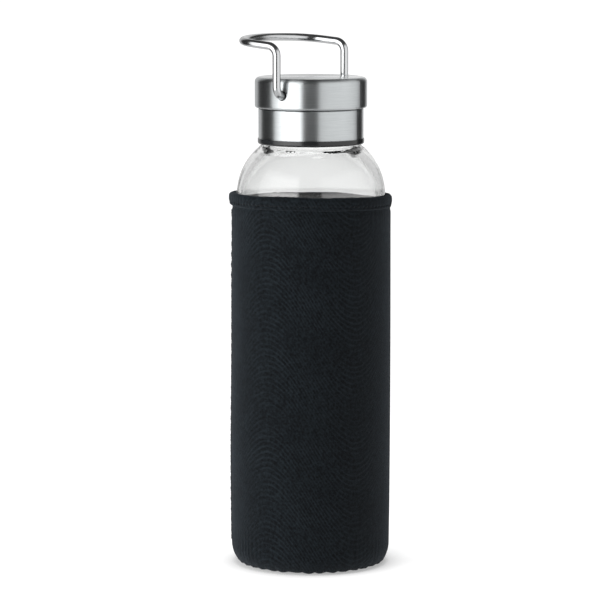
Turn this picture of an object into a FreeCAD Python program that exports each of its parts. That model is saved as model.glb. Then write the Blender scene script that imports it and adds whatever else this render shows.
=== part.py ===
import FreeCAD, Part
import math
import os
import re

import Sketcher

# Half-litre glass bottle with a screw lid, a wire carrying handle and a neoprene sleeve.
# Frame: +Z up, origin at the centre of the sleeve's base. The handle swings about Y and
# stands over -X. Lengths are millimetres.

DRIVING_SIZES = [
    # glass bottle
    ("glass_radius", 33.0, "outside radius of the glass body"),
    ("glass_wall", 2.2, "glass wall"),
    ("glass_floor", 4.0, "glass floor"),
    ("glass_foot", 2.8, "height of the glass foot over the table"),
    ("foot_radius", 24.0, "inner edge of the ring the glass stands on"),
    ("foot_corner", 5.5, "rounding between glass foot and wall"),
    ("punt_depth", 1.6, "hollow under the glass"),
    ("shoulder_start", 164.5, "height where the shoulder begins"),
    ("shoulder_radius", 28.5, "outside radius of the domed shoulder"),
    ("inner_start", 162.0, "height where the shoulder begins inside"),
    ("inner_shoulder", 26.3, "inside radius of the shoulder, which thickens towards the neck"),
    ("neck_radius", 19.4, "outside radius of the neck"),
    ("neck_bore", 17.2, "inside radius of the neck"),
    ("rim_height", 201.0, "top of the glass"),
    ("rim_round", 1.0, "rounding of the glass rim"),
    ("neck_blend", 1.5, "outside blend between shoulder and neck"),
    ("bore_blend", 4.5, "inside blend between shoulder and neck"),
    # screw thread
    ("thread_pitch", 5.0, "rise in one turn"),
    ("glass_thread_turns", 1.0, "turns of thread on the neck"),
    ("lid_thread_turns", 1.25, "turns of thread in the lid"),
    ("glass_thread_start", 192.9, "middle of the neck's thread at its start"),
    ("thread_depth", 1.6, "how far a thread stands out"),
    ("thread_root", 3.0, "width of a thread at its root"),
    ("thread_crest", 1.6, "width of a thread at its crest"),
    ("thread_bite", 0.4, "how deep a thread is rooted in its wall"),
    # lid
    ("lid_top", 217.0, "top face of the lid"),
    ("shell_radius", 24.9, "outside radius of the upper steel shell"),
    ("shell_corner", 2.2, "rounding of the shell's top edge"),
    ("shell_foot", 203.3, "lower edge of the upper shell"),
    ("shell_curl", 1.2, "radius of the shell's turned-in lower edge"),
    ("steel", 0.5, "sheet steel"),
    ("band_radius", 23.3, "outside radius of the lower steel band"),
    ("band_top", 203.0, "top of the lower band"),
    ("band_foot", 189.8, "bottom of the lower band"),
    ("band_curl", 0.4, "rounding of the band's edges"),
    ("flange_radius", 23.65, "outside radius of the liner's lower ring"),
    ("flange_foot", 187.3, "lowest edge of the lid"),
    ("flange_round", 1.0, "rounding of the ring's lower edge"),
    ("liner_bore", 21.4, "inside radius of the liner"),
    ("liner_mouth", 0.9, "chamfer at the liner's mouth"),
    ("liner_ceiling", 203.1, "underside of the liner's ceiling"),
    ("liner_top", 204.7, "upper side of the liner's ceiling"),
    ("seal_foot", 201.25, "underside of the seal"),
    ("seal_top", 202.9, "upper side of the seal"),
    ("seal_bore", 15.6, "inside radius of the seal"),
    ("seal_radius", 20.9, "outside radius of the seal"),
    ("core_wall", 3.0, "wall of the plastic core"),
    ("core_rib", 9.0, "width of the core's cross rib"),
    ("core_roof", 2.0, "roof of the plastic core"),
    # carrying handle
    ("wire_radius", 1.75, "radius of the handle's wire"),
    ("pivot_height", 209.7, "height of the handle's pivots"),
    ("wire_end", 17.5, "inner end of the wire, from the axis"),
    ("leg_reach", 29.4, "distance of each leg from the axis"),
    ("foot_bend", 4.5, "bend between pivot and leg"),
    ("top_bend", 4.5, "bend between leg and loop"),
    ("loop_height", 231.2, "height where legs and loop would cross"),
    ("loop_reach", 26.5, "how far the loop reaches out from the legs"),
    ("loop_corner", 13.8, "radius of the loop's two corners"),
    ("loop_nose", 52.4, "radius of the loop's front"),
    ("loop_tilt", 5.4, "degrees that the loop rises towards its front"),
    ("bush_bore", 1.8, "bore of a pivot bush"),
    ("bush_radius", 2.25, "outside radius of a pivot bush"),
    ("bush_inner", 21.0, "inner end of a bush, from the axis"),
    ("bush_outer", 24.85, "outer end of a bush, from the axis"),
    ("socket_radius", 1.9, "radius of the sockets in the core"),
    ("socket_end", 17.0, "inner end of the sockets, from the axis"),
    # sleeve
    ("sleeve_bore", 33.3, "inside radius of the sleeve"),
    ("cloth", 2.0, "thickness of the neoprene"),
    ("sleeve_corner", 5.6, "outer rounding at the sleeve's base"),
    ("base_thickness", 2.5, "thickness of the sleeve's base disc"),
    ("hem_foot", 160.5, "lower edge of the hem"),
    ("hem_top", 166.4, "top of the hem"),
    ("hem_radius", 36.1, "widest radius of the hem"),
    ("hem_middle", 163.6, "height of the hem's widest place"),
    ("hem_round", 1.9, "rounding of the hem's outer edge"),
    ("hem_lip", 0.7, "rounding of the hem's inner edge"),
    ("thread_line", 0.4, "radius of the sewn thread lines"),
    ("base_line_slope", 60.0, "degrees round the corner to the base's thread line"),
    ("seam_height", 0.45, "how far the side seam stands out"),
    ("seam_angle", 4.4, "width of the side seam in degrees"),
    ("seam_side", 211.5, "direction of the side seam in degrees"),
    ("seam_foot", 6.0, "lower end of the side seam"),
]
ALIASES = {alias for alias, value, meaning in DRIVING_SIZES}

# Heights and radii that follow from the driving sizes.
GLASS_INSIDE = "(glass_radius - glass_wall)"
SHOULDER_AXIS = "(glass_radius - shoulder_radius)"
INNER_AXIS = f"({GLASS_INSIDE} - inner_shoulder)"
NECK_ROOT = f"(shoulder_start + sqrt(shoulder_radius^2 - (neck_radius - {SHOULDER_AXIS})^2))"
BORE_ROOT = f"(inner_start + sqrt(inner_shoulder^2 - (neck_bore - {INNER_AXIS})^2))"
FLOOR_TOP = "(glass_foot + glass_floor)"
FLOOR_CORNER = "(foot_corner - glass_wall)"
PUNT_RADIUS = "((foot_radius^2 + punt_depth^2) / (2 * punt_depth))"
LID_THREAD_START = "(glass_thread_start - thread_pitch / 2)"
SHELL_INSIDE = "(shell_radius - steel)"
BAND_INSIDE = "(band_radius - steel)"
CORE_TOP = "(lid_top - steel)"
SLEEVE_RADIUS = "(sleeve_bore + cloth)"
BASE_RADIUS = f"({SLEEVE_RADIUS} - sleeve_corner)"
HEM_LINE = "(hem_foot - thread_line)"
HEM_SWELL = f"(hem_radius - {SLEEVE_RADIUS})"
HEM_BULGE = f"(({HEM_SWELL}^2 + (hem_middle - hem_foot)^2) / (2 * {HEM_SWELL}))"
BASE_LINE_RADIUS = f"({BASE_RADIUS} + sleeve_corner * cos(base_line_slope))"
BASE_LINE_HEIGHT = "(sleeve_corner * (1 - sin(base_line_slope)))"

doc = FreeCAD.newDocument("GlassBottle")
sheet = doc.addObject("Spreadsheet::Sheet", "Sizes")
for row, (alias, value, meaning) in enumerate(DRIVING_SIZES, start=1):
    sheet.set(f"A{row}", meaning)
    sheet.set(f"B{row}", str(value))
    sheet.setAlias(f"B{row}", alias)
doc.recompute()

parts = []


def size(expression):
    """Today's value of an expression in the sheet's aliases."""
    return float(sheet.evalExpression(expression))


def bound(expression):
    """The same expression as another object of the document writes it."""
    return re.sub(r"[a-z_]+", lambda word: "Sizes." * (word[0] in ALIASES) + word[0], expression)


def new_body(label):
    body = doc.addObject("PartDesign::Body", label)
    body.Label = label
    parts.append(body)
    return body


def new_sketch(body, name):
    """A sketch on the body's XZ plane: its x is +X, its y is +Z and it faces -Y."""
    sketch = body.newObject("Sketcher::SketchObject", name)
    support = next(item for item in body.Origin.OriginFeatures if item.Role == "XZ_Plane")
    sketch.AttachmentSupport = [(support, "")]
    sketch.MapMode = "FlatFace"
    return sketch


def drive(sketch, constraint, expression):
    """Add a sized constraint and bind it to the sheet."""
    index = sketch.addConstraint(constraint)
    sketch.setExpression(f"Constraints[{index}]", bound(expression))


def place(sketch, edge, point, x, y):
    """Hold one point of an edge at x, y from the sketch's origin."""
    for kind, expression, axis in (("DistanceX", x, -2), ("DistanceY", y, -1)):
        if expression == "0":
            sketch.addConstraint(Sketcher.Constraint("PointOnObject", edge, point, axis))
        else:
            rule = Sketcher.Constraint(kind, -1, 1, edge, point, size(expression))
            drive(sketch, rule, expression)


def arc_between(start, end, radius):
    """The short arc from start to end: a positive radius turns left, a negative one right."""
    chord = end - start
    left = FreeCAD.Vector(-chord.y, chord.x, 0).normalize()
    offset = math.sqrt(max(radius**2 - chord.Length**2 / 4, 0))
    centre = (start + end) * 0.5 + left * math.copysign(offset, radius)
    first, last = (start, end) if radius > 0 else (end, start)
    angles = [math.atan2(point.y - centre.y, point.x - centre.x) for point in (first, last)]
    circle = Part.Circle(centre, FreeCAD.Vector(0, 0, 1), abs(radius))
    return Part.ArcOfCircle(circle, *angles)


def outline(sketch, steps):
    """Draw a closed outline. A step is a corner's x and y, and, where the edge that leaves
    the corner is an arc, the side it turns to and its radius."""
    corners = [FreeCAD.Vector(size(step[0]), size(step[1]), 0) for step in steps]
    ends = []
    for index, step in enumerate(steps):
        start = corners[index]
        end = corners[(index + 1) % len(steps)]
        if len(step) == 2:
            edge = sketch.addGeometry(Part.LineSegment(start, end))
            ends.append((edge, 1, 2))
            continue
        turn, radius = step[2:]
        side = {"left": 1, "right": -1}[turn]
        edge = sketch.addGeometry(arc_between(start, end, side * size(radius)))
        ends.append((edge, 1, 2) if side > 0 else (edge, 2, 1))
        drive(sketch, Sketcher.Constraint("Radius", edge, size(radius)), radius)
    for index, (edge, first, last) in enumerate(ends):
        before, _, before_last = ends[index - 1]
        sketch.addConstraint(Sketcher.Constraint("Coincident", before, before_last, edge, first))
        place(sketch, edge, first, *steps[index][:2])


def circle(sketch, x, y, radius):
    centre = FreeCAD.Vector(size(x), size(y), 0)
    edge = sketch.addGeometry(Part.Circle(centre, FreeCAD.Vector(0, 0, 1), size(radius)))
    drive(sketch, Sketcher.Constraint("Radius", edge, size(radius)), radius)
    place(sketch, edge, 3, x, y)


def revolve(body, sketch, name, kind="Revolution"):
    """Turn a sketch about Z, to add material or, as a Groove, to take it away."""
    turned = body.newObject("PartDesign::" + kind, name)
    turned.Profile = sketch
    turned.ReferenceAxis = (sketch, ["V_Axis"])
    turned.Angle = 360
    sketch.Visibility = False
    return turned


def turned_part(label, steps):
    """A body of revolution about Z from its half section."""
    body = new_body(label)
    sketch = new_sketch(body, label + "_section")
    outline(sketch, steps)
    revolve(body, sketch, label + "_turned")
    doc.recompute()
    return body


def ring_of_thread(label, radius, height):
    body = new_body(label)
    sketch = new_sketch(body, label + "_section")
    circle(sketch, radius, height, "thread_line")
    revolve(body, sketch, label + "_ring")
    doc.recompute()
    return body


def soften(body, name, radius, ring_radius, ring_height):
    """Round the circular edge of a body that has this radius and height."""
    base = body.Tip
    wanted = []
    for index, edge in enumerate(body.Shape.Edges, start=1):
        if edge.Degenerated or not isinstance(edge.Curve, Part.Circle):
            continue
        near_radius = abs(edge.Curve.Radius - size(ring_radius)) < 0.01
        if near_radius and abs(edge.Curve.Center.z - size(ring_height)) < 0.01:
            wanted.append(f"Edge{index}")
    fillet = body.newObject("PartDesign::Fillet", name)
    fillet.Base = (base, wanted)
    fillet.setExpression("Radius", bound(radius))
    doc.recompute()


def add_thread(body, name, wall, middle, turns, outward):
    """A trapezoid thread that climbs with a right-hand turn, rooted in the wall it grows on."""
    sign = "+" if outward else "-"
    back = "-" if outward else "+"
    root = f"{wall} {back} thread_bite"
    crest = f"{wall} {sign} thread_depth"
    section = [
        (root, f"{middle} - thread_root / 2"),
        (crest, f"{middle} - thread_crest / 2"),
        (crest, f"{middle} + thread_crest / 2"),
        (root, f"{middle} + thread_root / 2"),
    ]
    sketch = new_sketch(body, name + "_section")
    outline(sketch, section)
    helix = body.newObject("PartDesign::AdditiveHelix", name)
    helix.Profile = sketch
    helix.ReferenceAxis = (sketch, ["V_Axis"])
    helix.Mode = "pitch-turns-angle"
    helix.setExpression("Pitch", bound("thread_pitch"))
    helix.setExpression("Turns", bound(turns))
    helix.Angle = 0
    helix.LeftHanded = False
    helix.Reversed = False
    sketch.Visibility = False
    doc.recompute()


def pocket(body, sketch, name, reach=None):
    """Cut a sketch both ways through the whole body, or one way for a reach."""
    cut = body.newObject("PartDesign::Pocket", name)
    cut.Profile = sketch
    if reach is None:
        cut.Type = "ThroughAll"
        cut.SideType = "Symmetric"
    else:
        cut.Type = "Length"
        cut.setExpression("Length", bound(reach))
    sketch.Visibility = False
    doc.recompute()
    return cut


def make_glass_bottle():
    body = turned_part("glass_bottle", [
        ("0", "glass_foot + punt_depth", "right", PUNT_RADIUS),
        ("foot_radius", "glass_foot"),
        ("glass_radius - foot_corner", "glass_foot", "left", "foot_corner"),
        ("glass_radius", "glass_foot + foot_corner"),
        ("glass_radius", "shoulder_start", "left", "shoulder_radius"),
        ("neck_radius", NECK_ROOT),
        ("neck_radius", "rim_height - rim_round", "left", "rim_round"),
        ("neck_radius - rim_round", "rim_height"),
        ("neck_bore + rim_round", "rim_height", "left", "rim_round"),
        ("neck_bore", "rim_height - rim_round"),
        ("neck_bore", BORE_ROOT, "right", "inner_shoulder"),
        (GLASS_INSIDE, "inner_start"),
        (GLASS_INSIDE, f"{FLOOR_TOP} + {FLOOR_CORNER}", "right", FLOOR_CORNER),
        (f"{GLASS_INSIDE} - {FLOOR_CORNER}", FLOOR_TOP),
        ("0", FLOOR_TOP),
    ])
    soften(body, "neck_outer_blend", "neck_blend", "neck_radius", NECK_ROOT)
    soften(body, "neck_inner_blend", "bore_blend", "neck_bore", BORE_ROOT)
    add_thread(body, "neck_thread", "neck_radius", "glass_thread_start",
               "glass_thread_turns", outward=True)


def make_lid_top_shell():
    inner_corner = "(shell_corner - steel)"
    inner_curl = "(shell_curl - steel)"
    body = turned_part("lid_top_shell", [
        ("0", CORE_TOP),
        ("shell_radius - shell_corner", CORE_TOP, "right", inner_corner),
        (SHELL_INSIDE, "lid_top - shell_corner"),
        (SHELL_INSIDE, "shell_foot + shell_curl", "right", inner_curl),
        ("shell_radius - shell_curl", "shell_foot + steel"),
        ("shell_radius - shell_curl", "shell_foot", "left", "shell_curl"),
        ("shell_radius", "shell_foot + shell_curl"),
        ("shell_radius", "lid_top - shell_corner", "left", "shell_corner"),
        ("shell_radius - shell_corner", "lid_top"),
        ("0", "lid_top"),
    ])
    holes = new_sketch(body, "pivot_holes")
    circle(holes, "0", "pivot_height", "bush_radius")
    pocket(body, holes, "pivot_holes_cut")


def make_lid_lower_band():
    turned_part("lid_lower_band", [
        (BAND_INSIDE, "band_foot"),
        ("band_radius", "band_foot"),
        ("band_radius", "band_top - band_curl", "left", "band_curl"),
        ("band_radius - band_curl", "band_top"),
        (BAND_INSIDE, "band_top"),
    ])


def make_lid_thread_liner():
    body = turned_part("lid_thread_liner", [
        ("0", "liner_ceiling"),
        ("liner_bore", "liner_ceiling"),
        ("liner_bore", "flange_foot + liner_mouth"),
        ("liner_bore + liner_mouth", "flange_foot"),
        ("flange_radius - flange_round", "flange_foot", "left", "flange_round"),
        ("flange_radius", "flange_foot + flange_round"),
        ("flange_radius", "band_foot"),
        (BAND_INSIDE, "band_foot"),
        (BAND_INSIDE, "liner_top"),
        ("0", "liner_top"),
    ])
    add_thread(body, "lid_thread", "liner_bore", LID_THREAD_START,
               "lid_thread_turns", outward=False)


def make_lid_core():
    inner_corner = "(shell_corner - steel)"
    core_inside = f"({SHELL_INSIDE} - core_wall)"
    core_ceiling = f"({CORE_TOP} - core_roof)"
    body = turned_part("lid_core", [
        ("0", "liner_top"),
        (SHELL_INSIDE, "liner_top"),
        (SHELL_INSIDE, "lid_top - shell_corner", "left", inner_corner),
        ("shell_radius - shell_corner", CORE_TOP),
        ("0", CORE_TOP),
    ])
    hollow = new_sketch(body, "hollow_section")
    outline(hollow, [
        ("0", "liner_top"),
        (core_inside, "liner_top"),
        (core_inside, core_ceiling),
        ("0", core_ceiling),
    ])
    revolve(body, hollow, "hollow", kind="Groove")
    doc.recompute()
    rib_sketch = new_sketch(body, "cross_rib_section")
    outline(rib_sketch, [
        ("-core_rib / 2", "liner_top"),
        ("core_rib / 2", "liner_top"),
        ("core_rib / 2", core_ceiling),
        ("-core_rib / 2", core_ceiling),
    ])
    rib = body.newObject("PartDesign::Pad", "cross_rib")
    rib.Profile = rib_sketch
    rib.SideType = "Symmetric"
    rib.setExpression("Length", bound(f"2 * {core_inside} + core_wall"))
    doc.recompute()
    for side in (-1, 1):
        name = "front" if side < 0 else "rear"
        for step, radius, inner in (("socket", "socket_radius", "socket_end"),
                                    ("seat", "bush_radius", "bush_inner")):
            sketch = new_sketch(body, f"{name}_{step}_circle")
            circle(sketch, "0", "pivot_height", radius)
            start = inner if side < 0 else f"-{SHELL_INSIDE} - 1"
            sketch.setExpression(".AttachmentOffset.Base.z", bound(start))
            cut = pocket(body, sketch, f"{name}_{step}", f"{SHELL_INSIDE} + 1 - {inner}")
            cut.Reversed = True
            doc.recompute()


def make_pivot_bush(name, side):
    """A bush lines each hole of the shell. Its ring is drawn square to Y."""
    body = new_body("pivot_bush_" + name)
    sketch = new_sketch(body, body.Label + "_ring")
    circle(sketch, "0", "pivot_height", "bush_radius")
    circle(sketch, "0", "pivot_height", "bush_bore")
    start = "bush_inner" if side < 0 else "-bush_outer"
    sketch.setExpression(".AttachmentOffset.Base.z", bound(start))
    pad = body.newObject("PartDesign::Pad", body.Label + "_tube")
    pad.Profile = sketch
    pad.setExpression("Length", bound("bush_outer - bush_inner"))
    doc.recompute()


def make_lid_seal_ring():
    turned_part("lid_seal_ring", [
        ("seal_bore", "seal_foot"),
        ("seal_radius", "seal_foot"),
        ("seal_radius", "seal_top"),
        ("seal_bore", "seal_top"),
    ])


def bend(before, corner, after, radius):
    """The two tangent points and the middle of an arc that rounds a corner."""
    back = (before - corner).normalize()
    ahead = (after - corner).normalize()
    half_turn = back.getAngle(ahead) / 2
    reach = radius / math.tan(half_turn)
    centre = corner + (back + ahead).normalize() * (radius / math.sin(half_turn))
    middle = centre + (corner - centre).normalize() * radius
    return corner + back * reach, middle, corner + ahead * reach


def handle_route():
    """The wire's centre line: pivot, leg, loop, leg, pivot. The loop lies in a plane that
    rises from the legs, with two round corners and a gently bowed front."""
    reach, height = size("leg_reach"), size("loop_height")
    pivot = size("pivot_height")
    corner_radius, nose_radius = size("loop_corner"), size("loop_nose")
    tilt = math.radians(size("loop_tilt"))

    def on_loop(out, across):
        return FreeCAD.Vector(-out * math.cos(tilt), across, height + out * math.sin(tilt))

    nose_centre = size("loop_reach") - nose_radius
    corner_across = reach - corner_radius
    corner_out = nose_centre + math.sqrt((nose_radius - corner_radius)**2 - corner_across**2)
    turn = math.atan2(corner_across, corner_out - nose_centre)

    def on_corner(angle, side):
        across = corner_across + corner_radius * math.sin(angle)
        return on_loop(corner_out + corner_radius * math.cos(angle), side * across)

    def half(side):
        """One half of the wire, from its end at the pivot to the middle of the loop."""
        end = FreeCAD.Vector(0, side * size("wire_end"), pivot)
        foot = FreeCAD.Vector(0, side * reach, pivot)
        head = FreeCAD.Vector(0, side * reach, height)
        foot_arc = bend(end, foot, head, size("foot_bend"))
        head_arc = bend(foot, head, on_loop(corner_out, side * reach), size("top_bend"))
        quarter = math.pi / 2
        corner_arc = [on_corner(angle, side) for angle in (quarter, (quarter + turn) / 2, turn)]
        return [
            Part.LineSegment(end, foot_arc[0]),
            Part.Arc(*foot_arc),
            Part.LineSegment(foot_arc[2], head_arc[0]),
            Part.Arc(*head_arc),
            Part.LineSegment(head_arc[2], corner_arc[0]),
            Part.Arc(*corner_arc),
        ]

    front = half(-1)
    rear = half(1)
    nose = Part.Arc(on_corner(turn, -1), on_loop(size("loop_reach"), 0), on_corner(turn, 1))
    edges = [curve.toShape() for curve in front + [nose] + rear[::-1]]
    return Part.Wire(Part.__sortEdges__(edges))


def make_handle_bail():
    """One bent wire: a round section swept along its centre line."""
    route = doc.addObject("Part::Feature", "handle_route")
    route.Shape = handle_route()
    section = doc.addObject("Part::Circle", "wire_section")
    section.setExpression("Radius", bound("wire_radius"))
    start = route.Shape.Edges[0]
    first = start.valueAt(start.FirstParameter)
    along = start.tangentAt(start.FirstParameter)
    section.Placement = FreeCAD.Placement(first, FreeCAD.Rotation(FreeCAD.Vector(0, 0, 1), along))
    handle = doc.addObject("Part::Sweep", "handle_bail")
    handle.Label = "handle_bail"
    handle.Sections = [section]
    handle.Spine = (route, [f"Edge{number + 1}" for number in range(len(route.Shape.Edges))])
    handle.Solid = True
    handle.Frenet = False
    parts.append(handle)
    doc.recompute()


def thread_channel(body, name, radius, height):
    """A round channel in the cloth, where a sewn line sinks in."""
    sketch = new_sketch(body, name + "_section")
    circle(sketch, radius, height, "thread_line")
    revolve(body, sketch, name, kind="Groove")
    doc.recompute()


def make_sleeve_body():
    body = turned_part("sleeve_body", [
        (BASE_RADIUS, "0", "left", "sleeve_corner"),
        (SLEEVE_RADIUS, "sleeve_corner"),
        (SLEEVE_RADIUS, "hem_foot"),
        ("sleeve_bore", "hem_foot"),
        ("sleeve_bore", "sleeve_corner", "right", "sleeve_corner - cloth"),
        (BASE_RADIUS, "cloth"),
    ])
    thread_channel(body, "hem_channel", SLEEVE_RADIUS, HEM_LINE)
    thread_channel(body, "base_channel", BASE_LINE_RADIUS, BASE_LINE_HEIGHT)


def make_sleeve_base():
    turned_part("sleeve_base", [
        ("0", "0"),
        (BASE_RADIUS, "0"),
        (BASE_RADIUS, "base_thickness"),
        ("0", "base_thickness"),
    ])


def make_sleeve_hem():
    turned_part("sleeve_hem", [
        ("sleeve_bore", "hem_foot"),
        (SLEEVE_RADIUS, "hem_foot", "left", HEM_BULGE),
        ("hem_radius", "hem_middle"),
        ("hem_radius", "hem_top - hem_round", "left", "hem_round"),
        ("hem_radius - hem_round", "hem_top"),
        ("sleeve_bore + hem_lip", "hem_top", "left", "hem_lip"),
        ("sleeve_bore", "hem_top - hem_lip"),
    ])


def make_sleeve_side_seam():
    """A low strip that follows the sleeve's round from base to hem."""
    body = new_body("sleeve_side_seam")
    seam_top = f"({HEM_LINE} - 2 * thread_line)"
    sketch = new_sketch(body, "side_seam_section")
    outline(sketch, [
        (SLEEVE_RADIUS, "seam_foot"),
        (f"{SLEEVE_RADIUS} + seam_height", "seam_foot"),
        (f"{SLEEVE_RADIUS} + seam_height", seam_top),
        (SLEEVE_RADIUS, seam_top),
    ])
    strip = revolve(body, sketch, "side_seam_strip")
    strip.Midplane = True
    strip.setExpression("Angle", bound("seam_angle"))
    turn = FreeCAD.Rotation(FreeCAD.Vector(0, 0, 1), size("seam_side"))
    body.Placement = FreeCAD.Placement(FreeCAD.Vector(), turn)
    doc.recompute()


def check_document():
    """Stop on any failed object or unsound shape."""
    for item in doc.Objects:
        if "Invalid" in item.State or "Error" in item.State:
            raise RuntimeError(f"{item.Name} did not build: {item.State}")
    for part in parts:
        if part.Shape.isNull() or not part.Shape.isValid() or not part.Shape.Solids:
            raise RuntimeError(f"{part.Label} has no sound solid")


make_glass_bottle()
make_lid_top_shell()
make_lid_lower_band()
make_lid_thread_liner()
make_lid_core()
make_pivot_bush("front", -1)
make_pivot_bush("rear", 1)
make_lid_seal_ring()
make_handle_bail()
make_sleeve_body()
make_sleeve_base()
make_sleeve_hem()
make_sleeve_side_seam()
ring_of_thread("hem_stitching", SLEEVE_RADIUS, HEM_LINE)
ring_of_thread("base_seam_stitching", BASE_LINE_RADIUS, BASE_LINE_HEIGHT)
doc.recompute()
check_document()

os.makedirs("parts", exist_ok=True)
for part in parts:
    part.Shape.exportStep(f"parts/{part.Label}.step")
    box = part.Shape.BoundBox
    spans = ", ".join(f"{low:.2f}..{high:.2f}" for low, high in (
        (box.XMin, box.XMax), (box.YMin, box.YMax), (box.ZMin, box.ZMax)))
    print(f"{part.Label}: {len(part.Shape.Solids)} solid, {part.Shape.Volume / 1000:.2f} cm3, {spans}")
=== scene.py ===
import math

import bpy
import numpy as np
from mathutils import Matrix, Vector


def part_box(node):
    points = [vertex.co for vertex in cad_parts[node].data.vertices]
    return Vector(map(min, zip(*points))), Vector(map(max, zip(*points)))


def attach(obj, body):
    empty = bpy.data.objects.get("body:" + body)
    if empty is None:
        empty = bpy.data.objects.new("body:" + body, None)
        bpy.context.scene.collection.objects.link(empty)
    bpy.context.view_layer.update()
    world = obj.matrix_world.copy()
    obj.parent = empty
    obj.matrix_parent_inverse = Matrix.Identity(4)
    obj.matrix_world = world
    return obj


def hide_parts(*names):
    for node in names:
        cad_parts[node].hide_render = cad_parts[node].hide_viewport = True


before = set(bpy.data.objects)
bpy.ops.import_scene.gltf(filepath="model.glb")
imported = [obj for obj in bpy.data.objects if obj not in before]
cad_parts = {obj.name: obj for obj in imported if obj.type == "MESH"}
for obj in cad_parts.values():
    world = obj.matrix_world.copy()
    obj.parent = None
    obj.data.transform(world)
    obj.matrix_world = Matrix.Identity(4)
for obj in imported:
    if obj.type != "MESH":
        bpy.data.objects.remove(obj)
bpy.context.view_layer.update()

MM = 0.001
TAU = 2 * math.pi

# ---------------------------------------------------------------- sizes from the frame
SLEEVE_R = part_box("sleeve_body")[1].x
GLASS_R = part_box("glass_bottle")[1].x
HEM_LOW, HEM_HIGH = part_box("sleeve_hem")
HEM_FOOT, HEM_TOP, HEM_R = HEM_LOW.z, HEM_HIGH.z, HEM_HIGH.x
BASE_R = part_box("sleeve_base")[1].x
BASE_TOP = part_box("sleeve_base")[1].z
SEAM_LOW, SEAM_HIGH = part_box("sleeve_side_seam")
SEAM_ANGLE = math.atan2(SEAM_LOW.y + SEAM_HIGH.y, SEAM_LOW.x + SEAM_HIGH.x)
FAR_SIDE = SEAM_ANGLE + math.pi
BAND_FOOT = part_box("lid_lower_band")[0].z

# ---------------------------------------------------------------- sleeve
CLOTH = 2.1 * MM
SLEEVE_IN = GLASS_R + 0.12 * MM
CORNER_REACH = 5.2 * MM
CORNER_RISE = 8.0 * MM
CORNER_IN = SLEEVE_R - CORNER_REACH
BODY_TOP = HEM_FOOT + 1.2 * MM
LOBE_DROP = 0.55 * MM
SLEEVE_COLUMNS = 1024
BASE_COLUMNS = 256

# how far the cloth stands off its even round, the height of the middle and the half width, in mm
FAR_SIDE_FIT = ((0.27, 95, 62), (-0.22, 6, 14))
SEAM_SIDE_FIT = ((0.40, 44, 36), (-0.32, 152, 16), (-0.12, 115, 40))

# ---------------------------------------------------------------- sewing
THREAD_R = 0.19 * MM
STITCH_PITCH = 2.4 * MM
HEM_STITCHES = round(TAU * HEM_R / STITCH_PITCH)
HEM_STITCH_Z = HEM_FOOT + 1.7 * MM
GATHER_PITCH = 5.4 * MM
GATHERS = round(TAU * BASE_R / GATHER_PITCH)
SEAM_BUMP_PITCH = 4.6 * MM
SEAM_HALF_WIDTH = 1.5 * MM

# ---------------------------------------------------------------- knit
WALE = 0.52 * MM
COURSE = 0.46 * MM
RIDGE_PITCH = 2.4 * MM
RIDGE_SWING = 22 * MM
RIDGE_TURN = math.radians(134)
RIDGE_CREST = math.radians(56)
CLOTH_DARK = (0.0002, 0.0006, 0.0010)
CLOTH_LIGHT = (0.0108, 0.0150, 0.0183)

# ---------------------------------------------------------------- glass
# heights between which the glass turns from smooth to wavy
NECK_WAVY = (BAND_FOOT - 7.3 * MM, BAND_FOOT - 5.3 * MM)
# distances above the hem between which its painted reflection band fades out
REFLECTION_BAND_FADES = (0.9 * MM, 2.3 * MM)

# ---------------------------------------------------------------- camera
VIEW_AZIMUTH = math.radians(30.8)
VIEW_PITCH = math.radians(7.08)
CAMERA_REACH = 1.3901
CAMERA_HEIGHT = 0.29006
CAMERA_ASIDE = 4.86 * MM
LENS = 188.4
TOWARDS = Vector((math.sin(VIEW_AZIMUTH), -math.cos(VIEW_AZIMUTH), 0))
RIGHT = Vector((math.cos(VIEW_AZIMUTH), math.sin(VIEW_AZIMUTH), 0))

# ---------------------------------------------------------------- light
LIGHT_AIM = Vector((0, 0, 0.11))
# name, degrees from the camera (right positive), height, distance, width and height, watts
SOFTBOXES = (
    ("softbox_left", -60, 0.5, 1.2, (0.9, 1.3), 20),
    ("softbox_right", 80, 0.5, 1.3, (1.0, 1.3), 0.4),
    ("softbox_top", 160, 1.4, 0.5, (1.4, 1.4), 4.5),
)
# what polished pieces mirror: degrees from the camera (right positive), brightness
STUDIO_ROUND = (
    (-180, 0.72), (-142, 0.58), (-137, 0.04), (-92, 0.04),
    (-88, 1.2), (-72, 2.2), (-58, 3.0), (-24, 3.0), (-20, 1.6),
    (-17.5, 0.08), (14.5, 0.06),
    (17.5, 1.02), (36, 1.22), (78, 1.22), (100, 1.05), (116, 0.9),
    (121, 0.04), (150, 0.04), (156, 0.7), (180, 0.85),
)
# light on cloth and paper, from the camera's left to its right
STUDIO_SOFT = ((0.0, (0.27, 0.27, 0.275)), (0.5, (0.185, 0.185, 0.19)), (1.0, (0.05, 0.05, 0.055)))
# what shows through the glass, from the camera's own direction to straight behind the bottle
STUDIO_BEHIND = ((0.0, 0.25), (0.35, 0.35), (0.80, 0.68), (0.92, 0.82), (0.97, 0.96), (1.0, 0.98))
CAMERA_WHITE = (1.05, 1.05, 1.05, 1)
FLOOR_HALF = 8.0
SHADOW_REACH = 48 * MM


# ================================================================ meshes
def new_object(name, vertices, faces, material, smooth=True):
    mesh = bpy.data.meshes.new(name)
    mesh.from_pydata([tuple(v) for v in vertices], [], faces)
    mesh.validate()
    if smooth:
        mesh.polygons.foreach_set("use_smooth", [True] * len(mesh.polygons))
    mesh.materials.append(material)
    piece = bpy.data.objects.new(name, mesh)
    bpy.context.scene.collection.objects.link(piece)
    return piece


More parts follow.
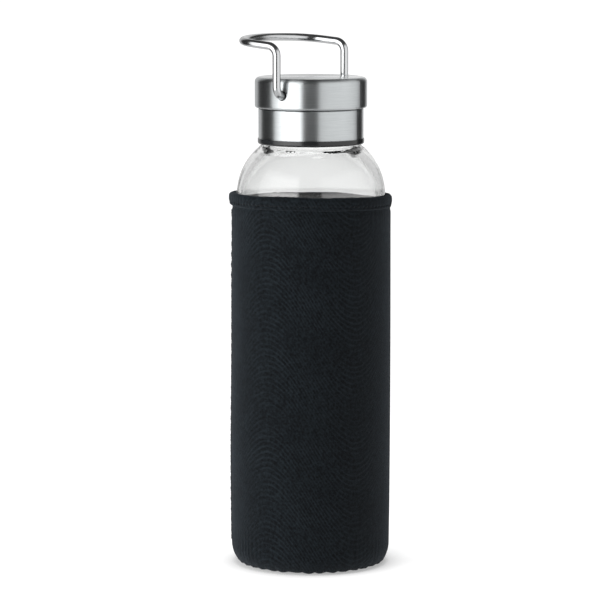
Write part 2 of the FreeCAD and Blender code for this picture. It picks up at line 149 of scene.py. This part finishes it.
def grid_faces(rings, across, closed_rings=True):
    """Quads over a grid of points, ring after ring. Each ring is closed on itself."""
    faces = []
    for i in range(rings if closed_rings else rings - 1):
        after = (i + 1) % rings
        for j in range(across):
            beside = (j + 1) % across
            faces.append((i * across + j, after * across + j,
                          after * across + beside, i * across + beside))
    return faces


def arc(centre, radius, start, end, steps):
    """Points of an arc in the (r, z) half plane, angles in degrees."""
    angles = np.radians(np.linspace(start, end, steps))
    return np.stack([centre[0] + radius * np.cos(angles), centre[1] + radius * np.sin(angles)], 1)


def run(start, end, spacing):
    """Points along a straight line, without its last point."""
    start, end = np.array(start, float), np.array(end, float)
    count = max(1, round(np.linalg.norm(end - start) / spacing))
    return start + (end - start) * np.arange(count)[:, None] / count


def lathe(name, section, columns, material, shape=None):
    """A closed half section turned about Z. shape moves each point: it is given the angle, r and z,
    and returns the new r and z."""
    section = np.array(section)
    angle = np.arange(columns) * TAU / columns
    theta = np.repeat(angle[:, None], len(section), 1)
    r = np.repeat(section[None, :, 0], columns, 0)
    z = np.repeat(section[None, :, 1], columns, 0)
    if shape:
        r, z = shape(theta, r, z)
    points = np.stack([r * np.cos(theta), r * np.sin(theta), z], -1).reshape(-1, 3)
    return new_object(name, points, grid_faces(columns, len(section)), material)


def tube_points(path, radius, sides, end_share=0.55):
    """A tube along a path, thinner at its closed ends: its points and faces."""
    path = np.array(path, float)
    along = np.gradient(path, axis=0)
    along /= np.linalg.norm(along, axis=1)[:, None]
    out = path * [1, 1, 0]
    out /= np.linalg.norm(out, axis=1)[:, None]
    side = np.cross(along, out)
    side /= np.linalg.norm(side, axis=1)[:, None]
    up = np.cross(side, along)
    taper = np.ones(len(path))
    taper[[0, -1]] = end_share
    angle = np.arange(sides) * TAU / sides
    ring = np.cos(angle)[None, :, None] * side[:, None] + np.sin(angle)[None, :, None] * up[:, None]
    points = (path[:, None] + ring * (radius * taper)[:, None, None]).reshape(-1, 3)
    faces = grid_faces(len(path), sides, closed_rings=False)
    faces.append(tuple(range(sides))[::-1])
    faces.append(tuple(range(len(points) - sides, len(points))))
    return points, faces


def tubes(name, paths, radius, material, sides=8):
    """Many separate lengths of thread as one piece."""
    vertices, faces = [], []
    for path in paths:
        points, quads = tube_points(path, radius, sides)
        start = len(vertices)
        vertices.extend(points)
        faces.extend(tuple(start + index for index in face) for face in quads)
    return new_object(name, vertices, faces, material)


def polar(angle, radius, height):
    return (radius * math.cos(angle), radius * math.sin(angle), height)


# ================================================================ materials
class Graph:
    """A short way to write a node tree."""

    def __init__(self, tree):
        self.tree = tree

    def node(self, kind, values=(), **settings):
        made = self.tree.nodes.new(kind)
        for name, value in settings.items():
            setattr(made, name, value)
        for socket, value in dict(values).items():
            self.feed(made.inputs[socket], value)
        return made

    def feed(self, socket, value):
        if isinstance(value, bpy.types.NodeSocket):
            self.tree.links.new(value, socket)
        else:
            socket.default_value = value

    def math(self, operation, *values):
        return self.node("ShaderNodeMath", enumerate(values), operation=operation).outputs[0]

    def vector(self, operation, *values):
        made = self.node("ShaderNodeVectorMath", enumerate(values), operation=operation)
        return made.outputs["Value" if operation in ("DOT_PRODUCT", "LENGTH") else "Vector"]

    def blend(self, *weighted):
        """The sum of values, each given with its weight."""
        total = self.math("MULTIPLY", *weighted[0])
        for value, weight in weighted[1:]:
            total = self.math("ADD", total, self.math("MULTIPLY", value, weight))
        return total

    def noise(self, vector, scale, detail=3.0, roughness=0.5):
        return self.node("ShaderNodeTexNoise", {
            "Vector": vector, "Scale": scale, "Detail": detail, "Roughness": roughness,
        }).outputs["Fac"]

    def ramp(self, value, stops):
        """A colour ramp from (place, grey or colour) stops."""
        made = self.node("ShaderNodeValToRGB", {"Fac": value})
        elements = made.color_ramp.elements
        while len(elements) < len(stops):
            elements.new(0.5)
        for element, (place, colour) in zip(elements, stops):
            element.position = place
            grey = isinstance(colour, (int, float))
            element.color = (colour,) * 3 + (1,) if grey else (*colour, 1)
        return made.outputs["Color"]

    def range(self, value, low, high, start=0.0, end=1.0):
        """Carries start to end over to low to high, level outside it."""
        return self.node("ShaderNodeMapRange", {
            "Value": value, "From Min": start, "From Max": end, "To Min": low, "To Max": high,
        }).outputs[0]

    def mix(self, share, first, second):
        made = self.node("ShaderNodeMix", data_type="RGBA")
        for socket, value in (("Factor_Float", share), ("A_Color", first), ("B_Color", second)):
            found = next(item for item in made.inputs if item.identifier == socket)
            self.feed(found, value)
        return next(item for item in made.outputs if item.identifier == "Result_Color")

    def bump(self, height, distance, strength=1.0, normal=None):
        values = {"Height": height, "Distance": distance, "Strength": strength}
        if normal:
            values["Normal"] = normal
        return self.node("ShaderNodeBump", values).outputs["Normal"]


def material(name, **values):
    """A material with a Principled shader. Values are set on the shader's own sockets."""
    made = bpy.data.materials.new(name)
    made.use_nodes = True
    graph = Graph(made.node_tree)
    shader = made.node_tree.nodes["Principled BSDF"]
    for socket, value in values.items():
        shader.inputs[socket.replace("_", " ")].default_value = value
    place = graph.node("ShaderNodeTexCoord").outputs["Object"]
    return made, graph, shader, place


def surface(graph, shader, colour, roughness, normal):
    """Feeds the three inputs that every procedural surface here varies."""
    graph.feed(shader.inputs["Base Color"], colour)
    graph.feed(shader.inputs["Roughness"], roughness)
    graph.feed(shader.inputs["Normal"], normal)


def split(graph, place):
    parts = graph.node("ShaderNodeSeparateXYZ", {"Vector": place})
    return parts.outputs[0], parts.outputs[1], parts.outputs[2]


def turned_lines(graph, place, fine, coarse=110):
    """Fine lines that run round the Z axis, as turning or brushing leaves them: fine of them to a
    metre across, coarse along."""
    x, y, z = split(graph, place)
    flat = graph.node("ShaderNodeCombineXYZ", {"X": x, "Y": y}).outputs[0]
    across = graph.math("ADD", z, graph.vector("LENGTH", flat))
    stretched = graph.node("ShaderNodeCombineXYZ", {
        "X": graph.math("MULTIPLY", x, coarse), "Y": graph.math("MULTIPLY", y, coarse),
        "Z": graph.math("MULTIPLY", across, fine),
    }).outputs[0]
    return graph.noise(stretched, 1.0, detail=4.0, roughness=0.65)


def make_brushed_steel(name, roughness, fine):
    """Steel brushed round its axis. Faces that look up are smoother."""
    made, graph, shader, place = material(name, Metallic=1.0, Anisotropic=0.95, Anisotropic_Rotation=0.25)
    lines = turned_lines(graph, place, fine)
    cloud = graph.noise(place, 90.0, detail=2.0)
    tone = graph.mix(graph.range(lines, 0.0, 1.0), (0.40, 0.425, 0.435, 1), (0.76, 0.785, 0.79, 1))
    rough = graph.math("ADD", graph.range(lines, roughness - 0.05, roughness + 0.06),
                       graph.range(cloud, -0.03, 0.03))
    facing_up = split(graph, graph.node("ShaderNodeTexCoord").outputs["Normal"])[2]
    top_face = graph.ramp(facing_up, [(0.85, 1.0), (0.97, 0.45)])
    roughened = graph.math("MULTIPLY", rough, top_face)
    surface(graph, shader, tone, roughened, graph.bump(lines, 0.004 * MM, 0.6))
    tangent = graph.node("ShaderNodeTangent", direction_type="RADIAL", axis="Z").outputs[0]
    graph.feed(shader.inputs["Tangent"], tangent)
    return made


def make_polished_wire():
    made, graph, shader, place = material("polished_wire", Metallic=1.0)
    marks = graph.noise(place, 2600.0, detail=3.0, roughness=0.7)
    smear = graph.noise(place, 160.0, detail=2.0)
    tone = graph.mix(smear, (0.54, 0.55, 0.56, 1), (0.62, 0.625, 0.63, 1))
    rough = graph.math("ADD", graph.range(smear, 0.15, 0.20), graph.range(marks, 0.0, 0.04))
    surface(graph, shader, tone, rough, graph.bump(marks, 0.002 * MM, 0.3))
    return made


def make_glass():
    """Clear glass, darker where it is seen edge on and wavy in the thick neck. From just above the
    hem down a glossier coat adds a painted reflection where the dark cloth shows behind the glass, which
    is left out where the glass is seen edge on."""
    made, graph, shader, place = material(
        "clear_glass", Roughness=0.0, IOR=1.5, Specular_IOR_Level=0.75, Transmission_Weight=1.0,
        Coat_IOR=2.0, Coat_Roughness=0.0)
    smear = graph.noise(place, 60.0, detail=2.0)
    clear = graph.mix(smear, (0.972, 0.978, 0.974, 1), (0.98, 0.984, 0.982, 1))
    edge_on = graph.node("ShaderNodeLayerWeight", {"Blend": 0.5}).outputs["Facing"]
    # the base colour is made darker where the glass is seen edge on
    edge_on_darkening = graph.ramp(edge_on, [(0.5, 1.0), (0.72, 0.93), (0.88, 0.84), (1.0, 0.74)])
    graph.feed(shader.inputs["Base Color"], graph.vector("MULTIPLY", clear, edge_on_darkening))
    height = split(graph, place)[2]
    # painted reflection: the glossier coat is laid on only up to just above the hem
    painted_reflection_band = graph.range(graph.math("SUBTRACT", height, HEM_TOP), 1.0, 0.0, *REFLECTION_BAND_FADES)
    face_on = graph.ramp(edge_on, [(0.70, 1.0), (0.88, 0.0)])
    graph.feed(shader.inputs["Coat Weight"], graph.math("MULTIPLY", painted_reflection_band, face_on))
    wave = graph.noise(place, 45.0, detail=1.0)
    smooth = graph.bump(wave, 0.03 * MM, 0.25)
    by_neck = graph.range(height, 0.0, 1.0, *NECK_WAVY)
    blown = graph.noise(graph.vector("MULTIPLY", place, (1.0, 1.0, 4.0)), 75.0, detail=0.8)
    uneven_glass = graph.math("MULTIPLY", graph.math("SUBTRACT", blown, 0.5), by_neck)
    graph.feed(shader.inputs["Normal"], graph.bump(uneven_glass, 1.0 * MM, 0.6, smooth))
    return made


def make_gloss_plastic():
    made, graph, shader, place = material("black_plastic", IOR=1.5)
    grain = graph.noise(place, 1800.0, detail=3.0)
    smear = graph.noise(place, 120.0, detail=2.0)
    tone = graph.mix(smear, (0.010, 0.011, 0.012, 1), (0.016, 0.017, 0.018, 1))
    surface(graph, shader, tone, graph.range(smear, 0.12, 0.22), graph.bump(grain, 0.01 * MM, 0.25))
    return made


def make_inner_plastic():
    made, graph, shader, place = material("inner_plastic", IOR=1.5)
    grain = graph.noise(place, 3000.0, detail=4.0)
    tone = graph.mix(grain, (0.035, 0.036, 0.038, 1), (0.05, 0.05, 0.052, 1))
    surface(graph, shader, tone, graph.range(grain, 0.42, 0.6), graph.bump(grain, 0.02 * MM, 0.5))
    return made


def make_silicone():
    made, graph, shader, place = material(
        "silicone", IOR=1.41, Subsurface_Weight=0.3, Subsurface_Radius=(2 * MM, 2 * MM, 2 * MM))
    grain = graph.noise(place, 900.0, detail=3.0)
    tone = graph.mix(grain, (0.72, 0.73, 0.73, 1), (0.80, 0.80, 0.80, 1))
    surface(graph, shader, tone, graph.range(grain, 0.35, 0.5), graph.bump(grain, 0.01 * MM, 0.4))
    return made


def wall_weave(graph, place):
    """The sleeve's wall: wales counted round it, courses counted up it, and the phase of its low
    ridges, which rise and fall in arcs counted from the side seam."""
    x, y, z = split(graph, place)
    turn = graph.math("ARCTAN2", y, x)
    wales = graph.math("MULTIPLY", turn, round(TAU * SLEEVE_R / WALE) / TAU)
    courses = graph.math("DIVIDE", z, COURSE)
    past_seam = graph.math("FLOORED_MODULO", graph.math("SUBTRACT", turn, SEAM_ANGLE), TAU)
    past_crest = graph.math("SUBTRACT", past_seam, RIDGE_CREST)
    swing = graph.math("COSINE", graph.math("MULTIPLY", past_crest, TAU / RIDGE_TURN))
    below = graph.math("SUBTRACT", z, graph.math("MULTIPLY", swing, RIDGE_SWING))
    return wales, courses, graph.math("MULTIPLY", below, TAU / RIDGE_PITCH)


def base_weave(graph, place):
    """The sleeve's base: the same knit, straight across."""
    x, y, _ = split(graph, place)
    ridges = graph.math("MULTIPLY", y, TAU / RIDGE_PITCH)
    return graph.math("DIVIDE", x, WALE), graph.math("DIVIDE", y, COURSE), ridges


def knit_height(graph, wales, courses):
    """Jersey knit: columns of small V-shaped loops."""
    across = graph.math("ABSOLUTE", graph.math("SUBTRACT", graph.math("FRACT", wales), 0.5))
    rounded = graph.math("SUBTRACT", 1.0, graph.math("POWER", graph.math("MULTIPLY", across, 2.0), 2.0))
    slanted = graph.math("ADD", courses, graph.math("MULTIPLY", across, 1.1))
    loops = graph.range(graph.math("SINE", graph.math("MULTIPLY", slanted, TAU)), 0.0, 1.0)
    return graph.blend((rounded, 0.55), (loops, 0.45))


def make_neoprene(name, weave, tone=1.0):
    """Black knit-faced foam."""
    made, graph, shader, place = material(
        name, Sheen_Weight=0.07, Sheen_Roughness=0.5, Sheen_Tint=(0.75, 0.86, 1.0, 1),
        IOR=1.45, Specular_IOR_Level=0.12)
    wales, courses, phase = weave(graph, place)
    wander = graph.noise(place, 220.0, detail=2.0)
    knit = knit_height(graph, graph.math("ADD", wales, graph.range(wander, -0.5, 0.5)), courses)
    drift = graph.range(graph.noise(place, 130.0, detail=2.0), -2.2, 2.2)
    waves = graph.range(graph.math("SINE", graph.math("ADD", phase, drift)), 0.0, 1.0)
    patchy = graph.ramp(graph.noise(place, 75.0, detail=2.0), [(0.35, 0.25), (0.65, 1.0)])
    ridges = graph.math("MULTIPLY", waves, patchy)
    fuzz = graph.noise(place, 4200.0, detail=3.0, roughness=0.7)
    speck = graph.noise(place, 900.0, detail=3.0, roughness=0.7)
    mottle = graph.noise(place, 420.0, detail=4.0, roughness=0.6)
    cloud = graph.noise(place, 45.0, detail=3.0)
    shade = graph.blend((knit, 0.20), (mottle, 0.30), (speck, 0.60), (cloud, 0.10), (ridges, 0.15))
    dark = tuple(tone * c for c in CLOTH_DARK)
    light = tuple(tone * c for c in CLOTH_LIGHT)
    coarse = graph.bump(mottle, 0.10 * MM, 0.6)
    raised = graph.bump(ridges, 0.05 * MM, 0.5, coarse)
    speckled = graph.bump(speck, 0.08 * MM, 0.6, raised)
    knitted = graph.bump(knit, 0.09 * MM, 0.8, speckled)
    tone_by_shade = graph.ramp(shade, [(0.51, dark), (0.82, light)])
    fuzzy = graph.bump(fuzz, 0.03 * MM, 0.5, knitted)
    surface(graph, shader, tone_by_shade, graph.range(mottle, 0.66, 0.9), fuzzy)
    return made


def make_thread():
    made, graph, shader, place = material("sewing_thread", Specular_IOR_Level=0.2, IOR=1.5)
    twist = graph.node("ShaderNodeTexWave", {"Vector": place, "Scale": 900.0, "Distortion": 1.5},
                       bands_direction="DIAGONAL").outputs["Fac"]
    tone = graph.mix(twist, (0.002, 0.0024, 0.003, 1), (0.008, 0.0095, 0.011, 1))
    surface(graph, shader, tone, graph.range(twist, 0.4, 0.65), graph.bump(twist, 0.03 * MM, 0.8))
    return made


# ================================================================ how the cloth lies
def ripple(theta, count):
    return np.cos(count * theta)


def uneven(theta, seed, lowest, highest):
    """A smooth irregular wave round the bottle, mostly between -1 and 1, the same on every run."""
    rng = np.random.default_rng(seed)
    orders = np.arange(lowest, highest + 1)
    sizes = rng.uniform(0.4, 1.0, len(orders))
    phases = rng.uniform(0, TAU, len(orders))
    wave = sum(a * np.cos(k * theta + p) for k, a, p in zip(orders, sizes, phases))
    return wave / math.sqrt(np.sum(sizes**2))


def near(value, centre, width):
    """A bell curve: 1 at the centre, about a third one width away, and nearly 0 at two."""
    return np.exp(-((value - centre) / width)**2)


def swells(z, places):
    """The sum, in mm, of swells up the wall: each is (out, centre, width) in mm."""
    return sum(out * near(z, centre * MM, width * MM) for out, centre, width in places)


def seam_distance(theta):
    """Distance round the sleeve from its side seam."""
    return (np.mod(theta - SEAM_ANGLE + math.pi, TAU) - math.pi) * SLEEVE_R


def seam_bumps(z):
    """The side seam's stitches bunch the cloth into small bumps, larger under the hem."""
    size = (0.08 + 0.09 * near(z, 148 * MM, 28 * MM)) * MM
    unequal = 0.7 + 0.3 * np.cos(z / (5.3 * MM))
    return size * np.cos(TAU * z / SEAM_BUMP_PITCH) * unequal


def hem_sag(theta):
    """The hem is level in front, hangs a little at the seam and more on the far side, and dips
    once more just behind each side."""
    across = np.cos(theta - FAR_SIDE)
    behind = np.sin(theta - FAR_SIDE)
    return (-1.0 * across**2 - 0.6 * across - 0.8 * near(behind, 0.42, 0.25)) * MM


def sleeve_fit(theta, z):
    """How far the cloth stands off its even round, on the far side and on the seam's side."""
    across = np.cos(theta - FAR_SIDE)
    far = np.clip(across, 0, 1)**2 * swells(z, FAR_SIDE_FIT)
    by_seam = np.clip(-across, 0, 1)**2 * swells(z, SEAM_SIDE_FIT)
    return (far + by_seam) * MM


def corner(slope, out=0.0):
    """r and z on the rounded corner between wall and base, slope from -90 at the base to 0 degrees."""
    turn = np.radians(slope)
    r = CORNER_IN + (CORNER_REACH + out) * np.cos(turn)
    z = CORNER_RISE + (CORNER_RISE + out) * np.sin(turn)
    return r, z


def shape_sleeve(theta, r, z):
    """Slack of the cloth, gathers and lobes over the base, the pull of the hem's stitches, and the
    side seam, where two edges butt together above the corner."""
    outer = np.clip((r - SLEEVE_IN) / CLOTH, 0, 1)
    drift = uneven(theta, 1, 2, 5) * np.sin(z * 31 + 0.8) + uneven(theta, 2, 2, 6) * np.cos(z * 55)
    slack = 0.07 * MM * drift + sleeve_fit(theta, z)
    gathered = theta + 0.012 * uneven(theta, 3, 3, 30)
    strength = 0.8 + 0.2 * uneven(theta, 4, 3, 20)
    gathers = 0.24 * MM * ripple(gathered, GATHERS) * strength * near(z, 0.3 * MM, 2.6 * MM)
    fine = 0.035 * MM * uneven(theta, 5, 60, 110) * near(z, 8 * MM, 7 * MM)
    pull = -0.30 * MM * near(z, HEM_FOOT + hem_sag(theta) - 0.3 * MM, 0.8 * MM)
    drawn = 0.03 * MM * uneven(theta, 6, 50, 120) * near(z, HEM_FOOT - 3 * MM, 5 * MM)
    side = seam_distance(theta)
    butt = -0.28 * MM * near(side, 0, 0.35 * MM) + (0.16 * MM + seam_bumps(z)) * near(side, 0, 1.7 * MM)
    above_corner = np.clip((z - 4 * MM) / (8 * MM), 0, 1)
    r = r + outer * (slack + gathers + fine + pull + drawn + butt * above_corner)
    lobe = np.abs(ripple(gathered / 2, GATHERS))
    hang = (LOBE_DROP + 0.1 * MM) * lobe * strength - 0.1 * MM
    outside_base = np.clip((r - BASE_R) / MM, 0, 1)
    z = z - hang * outside_base * near(z, 0.0, 2.2 * MM)
    return r, z


def shape_hem(theta, r, z):
    """Stitches pull the folded hem in at their holes, and its roll is a little uneven."""
    outer = np.clip((r - SLEEVE_IN) / (HEM_R - SLEEVE_IN), 0, 1)
    upper = np.clip((z - HEM_STITCH_Z) / (HEM_TOP - HEM_STITCH_Z), 0, 1)
    hole = (0.5 + 0.5 * ripple(theta, HEM_STITCHES))**2
    tension = 1.0 + 0.3 * uneven(theta, 7, 5, 60)
    line = -0.42 * MM * near(z, HEM_STITCH_Z, 0.45 * MM) * (0.30 + hole) * tension
    pleats = 0.04 * MM * uneven(theta, 8, 45, 110) * near(z, HEM_STITCH_Z + 1.5 * MM, 1.6 * MM)
    roll = 0.08 * MM * uneven(theta, 9, 2, 9)
    lift = 0.16 * MM * uneven(theta, 10, 2, 8) + 0.05 * MM * uneven(theta, 11, 20, 50)
    side = seam_distance(theta)
    bulk = 0.30 * MM * near(side, 0, 2.4 * MM) - 0.35 * MM * near(side, 0.6 * MM, 0.4 * MM)
    r = r + outer * (line + pleats + roll + bulk)
    z = z + upper * lift + (outer + (1 - outer) * 0.6 * upper) * hem_sag(theta)
    return r, z


# ================================================================ sleeve
def make_sleeve_body(cloth):
    inner_corner = SLEEVE_IN - BASE_R
    floor_inside = inner_corner + CLOTH
    section = np.vstack([
        run((BASE_R, 0), (CORNER_IN, 0), 0.2 * MM),
        np.stack(corner(np.linspace(-90, 0, 28)), 1)[:-1],
        run((SLEEVE_R, CORNER_RISE), (SLEEVE_R, BODY_TOP), 0.9 * MM),
        run((SLEEVE_R, BODY_TOP), (SLEEVE_IN, BODY_TOP), 0.7 * MM),
        run((SLEEVE_IN, BODY_TOP), (SLEEVE_IN, floor_inside), 4 * MM),
        arc((BASE_R, floor_inside), inner_corner, 0, -90, 8),
    ])
    return lathe("neoprene_sleeve", section, SLEEVE_COLUMNS, cloth, shape_sleeve)


def make_hem(cloth):
    """The folded hem: it swells out from its foot and ends in a round roll."""
    top = HEM_TOP - 0.1 * MM
    roll = (HEM_R - SLEEVE_IN) / 2
    middle = HEM_FOOT + 3.1 * MM
    foot_r = SLEEVE_R - 0.35 * MM
    swell = HEM_R - SLEEVE_R - 0.25 * MM
    rise = middle - HEM_FOOT
    bulge = (swell**2 + rise**2) / (2 * swell)
    lean = math.degrees(math.asin(rise / bulge))
    section = np.vstack([
        run((SLEEVE_IN, HEM_FOOT), (foot_r, HEM_FOOT - 0.05 * MM), 0.3 * MM),
        arc((foot_r, HEM_FOOT + 0.45 * MM), 0.5 * MM, -90, -20, 7)[:-1],
        arc((HEM_R - bulge, middle), bulge, -lean * 0.82, 0, 26)[:-1],
        run((HEM_R, middle), (HEM_R, top - roll), 0.25 * MM),
        arc((HEM_R - roll, top - roll), roll, 0, 180, 26)[:-1],
        run((SLEEVE_IN, top - roll), (SLEEVE_IN, HEM_FOOT), 0.8 * MM),
    ])
    return lathe("folded_hem", section, HEM_STITCHES * 10, cloth, shape_hem)


def make_base(cloth):
    """The round base. Its underside is dished a little, and a pinhole is left on its axis."""
    edge = BASE_R - 0.1 * MM
    rim = 0.6 * MM
    hub = 0.2 * MM
    flat_r = edge - 6 * MM
    section = np.vstack([
        run((hub, 0.25 * MM), (flat_r, 0.12 * MM), 2 * MM),
        run((flat_r, 0.12 * MM), (edge - rim, 0.0), 1 * MM),
        arc((edge - rim, rim), rim, -90, 0, 6)[:-1],
        run((edge, rim), (edge, BASE_TOP - rim), 0.5 * MM),
        arc((edge - rim, BASE_TOP - rim), rim, 0, 90, 6)[:-1],
        run((edge - rim, BASE_TOP), (hub, BASE_TOP), 2.5 * MM),
    ])
    return lathe("sleeve_base_disc", section, BASE_COLUMNS, cloth)


def make_hem_stitches(thread):
    """Lockstitches along the hem: each lies over the cloth between two holes."""
    step = TAU / HEM_STITCHES
    shares = np.linspace(0.08, 0.92, 9)
    paths = []
    for index in range(HEM_STITCHES):
        start = index * step
        path = []
        for share in shares:
            radius = HEM_R - 0.66 * MM + 0.26 * MM * math.sin(math.pi * share)
            height = HEM_STITCH_Z + 0.22 * MM * (share - 0.5) + hem_sag(start)
            path.append(polar(start + step * share, radius, height))
        paths.append(path)
    return tubes("hem_stitches", paths, THREAD_R, thread)


def make_side_stitches(thread):
    """A zigzag of thread that joins the sleeve's two edges."""
    half_angle = SEAM_HALF_WIDTH / SLEEVE_R
    low, high = 9 * MM, HEM_FOOT - 2.2 * MM
    count = round((high - low) / (STITCH_PITCH / 2))
    rows = np.linspace(low, high, count + 1)
    paths = []
    for index in range(count):
        side = 1 if index % 2 else -1
        path = []
        for share in np.linspace(0, 1, 9):
            angle = SEAM_ANGLE + side * half_angle * (1 - 2 * share)
            height = rows[index] + (rows[index + 1] - rows[index]) * share
            bow = (0.02 + 0.26 * math.sin(math.pi * share)) * MM
            radius = SLEEVE_R + sleeve_fit(angle, height) + seam_bumps(height) + bow
            path.append(polar(angle, radius, height))
        paths.append(path)
    return tubes("side_seam_zigzag", paths, THREAD_R, thread)


def make_base_stitches(thread):
    """Overlock stitches that cross the corner seam between wall and base."""
    count = GATHERS * 2
    step = TAU / count
    shares = np.linspace(0, 1, 7)
    bow = (0.12 * np.sin(math.pi * shares) - 0.06) * MM
    r, z = corner(-76 + 22 * shares, bow)
    paths = []
    for index in range(count):
        angles = step * (index + 0.35 * shares)
        paths.append([polar(*point) for point in zip(angles, *shape_sleeve(angles, r, z))])
    return tubes("base_seam_stitches", paths, THREAD_R, thread)


def dress_sleeve():
    cloth = make_neoprene("neoprene_knit", wall_weave)
    hem_cloth = make_neoprene("neoprene_hem_knit", wall_weave, tone=1.04)
    base_cloth = make_neoprene("neoprene_base_knit", base_weave)
    thread = make_thread()
    body = make_sleeve_body(cloth)
    hem = make_hem(hem_cloth)
    base = make_base(base_cloth)
    hem_line = make_hem_stitches(thread)
    side_line = make_side_stitches(thread)
    base_line = make_base_stitches(thread)
    stands_for = (
        (body, "sleeve_body", "neoprene"),
        (hem, "sleeve_hem", "neoprene_hem"),
        (base, "sleeve_base", "neoprene"),
        (hem_line, "hem_stitching", "sewing_thread"),
        (side_line, "sleeve_side_seam", "sewing_thread"),
        (base_line, "base_seam_stitching", "sewing_thread"),
    )
    for piece, node, slot in stands_for:
        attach(piece, "sleeve")
        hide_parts(node)


def finish_hard_parts():
    """The CAD's own pieces, each with its material."""
    steel = make_brushed_steel("brushed_steel", 0.36, 9000)
    plastic = make_gloss_plastic()
    finishes = {
        "glass_bottle": make_glass(),
        "lid_top_shell": steel,
        "lid_lower_band": steel,
        "lid_thread_liner": plastic,
        "lid_core": make_inner_plastic(),
        "lid_seal_ring": make_silicone(),
        "handle_bail": make_polished_wire(),
        "pivot_bush_front": plastic,
        "pivot_bush_rear": plastic,
    }
    for node, made in finishes.items():
        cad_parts[node].data.materials.clear()
        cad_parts[node].data.materials.append(made)


# ================================================================ stage
def make_camera():
    data = bpy.data.cameras.new("camera")
    data.lens = LENS
    data.sensor_width = 36
    data.clip_end = 50
    camera = bpy.data.objects.new("camera", data)
    bpy.context.scene.collection.objects.link(camera)
    back = TOWARDS * math.cos(VIEW_PITCH) + Vector((0, 0, math.sin(VIEW_PITCH)))
    up = back.cross(RIGHT)
    turn = Matrix((RIGHT, up, back)).transposed()
    spot = TOWARDS * CAMERA_REACH - RIGHT * CAMERA_ASIDE + Vector((0, 0, CAMERA_HEIGHT))
    camera.matrix_world = Matrix.Translation(spot) @ turn.to_4x4()
    bpy.context.scene.camera = camera


def make_floor():
    """Paper that glows white, with a painted contact shadow: it glows less close round the bottle. The
    base's lobes stand on it.
    """
    made, graph, shader, place = material("floor_paper", Roughness=0.9, Emission_Strength=1.0)
    grain = graph.noise(place, 300.0, detail=3.0)
    tone = graph.mix(grain, (0.34, 0.34, 0.34, 1), (0.36, 0.36, 0.36, 1))
    graph.feed(shader.inputs["Base Color"], tone)
    open_sky = graph.node("ShaderNodeAmbientOcclusion", {"Distance": SHADOW_REACH}, samples=8)
    # painted contact shadow: the paper's glow is dimmed where the bottle stands close by
    glow_with_painted_shadow = graph.ramp(open_sky.outputs["AO"], [(0.40, 0.38), (0.68, 0.82), (0.79, 1.0)])
    graph.feed(shader.inputs["Emission Color"], glow_with_painted_shadow)
    signs = ((-1, -1), (1, -1), (1, 1), (-1, 1))
    corners = [(x * FLOOR_HALF, y * FLOOR_HALF, -LOBE_DROP) for x, y in signs]
    floor = new_object("floor", corners, [(0, 1, 2, 3)], made, smooth=False)
    floor.visible_glossy = False


def make_light(name, bearing, height, reach, size, power):
    """A softbox that faces the bottle."""
    data = bpy.data.lights.new(name, "AREA")
    data.shape = "RECTANGLE"
    data.size, data.size_y = size
    data.energy = power
    light = bpy.data.objects.new(name, data)
    bpy.context.scene.collection.objects.link(light)
    angle = math.radians(bearing)
    spot = (TOWARDS * math.cos(angle) + RIGHT * math.sin(angle)) * reach + Vector((0, 0, height))
    facing = (LIGHT_AIM - spot).to_track_quat("-Z", "Y").to_matrix().to_4x4()
    light.matrix_world = Matrix.Translation(spot) @ facing
    light.visible_camera = False
    light.visible_transmission = False
    light.visible_glossy = False


def half_up(graph, value):
    """Carries -1 to 1 over to 0 to 1."""
    return graph.math("ADD", graph.math("MULTIPLY", value, 0.5), 0.5)


def mirrored_studio(graph, ahead, aside, tall):
    """A bright softbox on the left, a dimmer one on the right, dark gaps between them, a pale wall
    behind the bottle, a pale floor and a dark ceiling."""
    turn = graph.math("DIVIDE", graph.math("ARCTAN2", aside, ahead), TAU)
    stops = [((angle + 180) / 360, grey) for angle, grey in STUDIO_ROUND]
    walls = graph.ramp(graph.math("ADD", turn, 0.5), stops)
    steep = graph.ramp(tall, [(0.0, 1.0), (0.20, 1.0), (0.28, 0.0), (0.74, 0.0), (0.84, 1.0), (1.0, 1.0)])
    floor_and_ceiling = graph.ramp(tall, [(0.0, 0.8), (0.30, 0.8), (0.55, 0.07), (1.0, 0.07)])
    return graph.mix(steep, walls, floor_and_ceiling)


def studio_behind(graph, ahead, tall):
    """White behind the bottle, greyer to the sides and upwards."""
    away = graph.math("MULTIPLY", graph.math("SUBTRACT", 1.0, ahead), 0.5)
    higher = graph.ramp(tall, [(0.52, 1.0), (0.62, 0.92), (0.8, 0.78), (1.0, 0.7)])
    return graph.vector("MULTIPLY", graph.ramp(away, STUDIO_BEHIND), higher)


def make_world():
    """A studio in four parts: what cloth is lit by, what polished pieces mirror, what shows through
    the glass, and plain white for the eye."""
    world = bpy.data.worlds.new("studio")
    bpy.context.scene.world = world
    world.use_nodes = True
    graph = Graph(world.node_tree)
    background = world.node_tree.nodes["Background"]
    direction = graph.node("ShaderNodeTexCoord").outputs["Generated"]
    ahead = graph.vector("DOT_PRODUCT", direction, tuple(TOWARDS))
    aside = graph.vector("DOT_PRODUCT", direction, tuple(RIGHT))
    tall = half_up(graph, split(graph, direction)[2])
    path = graph.node("ShaderNodeLightPath").outputs
    seen = graph.ramp(half_up(graph, aside), STUDIO_SOFT)
    seen = graph.mix(path["Is Glossy Ray"], seen, mirrored_studio(graph, ahead, aside, tall))
    seen = graph.mix(path["Is Transmission Ray"], seen, studio_behind(graph, ahead, tall))
    seen = graph.mix(path["Is Camera Ray"], seen, CAMERA_WHITE)
    graph.feed(background.inputs["Color"], seen)
    graph.feed(background.inputs["Strength"], 1.0)


def make_stage():
    make_camera()
    make_floor()
    for softbox in SOFTBOXES:
        make_light(*softbox)
    make_world()
    bpy.context.scene.view_settings.view_transform = "Standard"


finish_hard_parts()
dress_sleeve()
make_stage()
